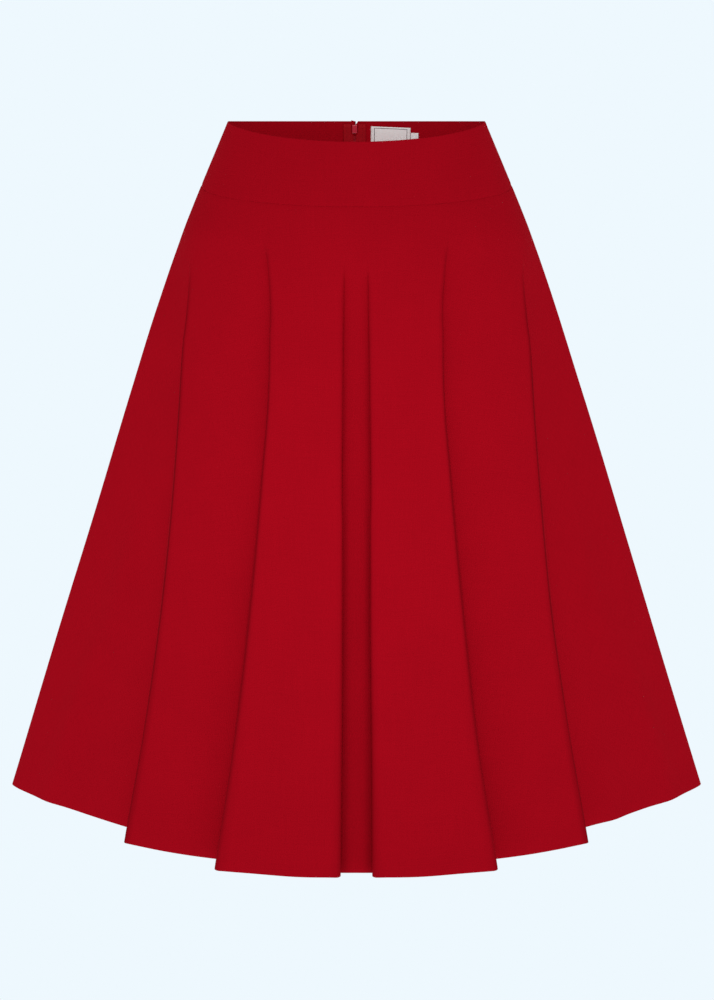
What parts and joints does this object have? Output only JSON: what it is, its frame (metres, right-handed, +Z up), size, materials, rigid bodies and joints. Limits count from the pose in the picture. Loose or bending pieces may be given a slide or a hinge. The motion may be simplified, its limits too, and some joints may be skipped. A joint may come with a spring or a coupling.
{
  "type": "circle skirt",
  "caption": "Filled-out red half-circle skirt with a shaped yoke, soft folds that open towards a level hem, and a concealed back zip.",
  "frame": {"origin": "centre of the waist, level with the waist edge at the sides and the back, where the wearer holds the skirt up", "axes": "+Z up out of the waist, -Y the wearer's front, +X the wearer's left"},
  "size_m": [0.7318, 0.6231, 0.6954],
  "materials": {
    "skirt_cloth": "matt red woven crepe",
    "yoke_cloth": "matt red woven crepe, a shade deeper",
    "zip_tape": "fine red zip tape",
    "zip_metal": "glossy red enamel",
    "label_satin": "white woven satin, bare"
  },
  "bodies": {
    "garment": {"yoke_front": "yoke_cloth", "yoke_back_right": "yoke_cloth", "yoke_back_left": "yoke_cloth", "skirt_front": "skirt_cloth", "skirt_back_right": "skirt_cloth", "skirt_back_left": "skirt_cloth", "zip_tape_right": "zip_tape", "zip_tape_left": "zip_tape", "zip_slider": "zip_metal", "label": "label_satin", "size_tab": "label_satin"},
    "pull": {"zip_pull": "zip_metal"}
  },
  "joints": [
    {"name": "pull_swing", "type": "hinge", "parent": "garment", "child": "pull", "pos_m": [-0.002, 0.09644, -0.00591], "axis": [1, 0, 0], "range_deg": [0, 150]}
  ]
}
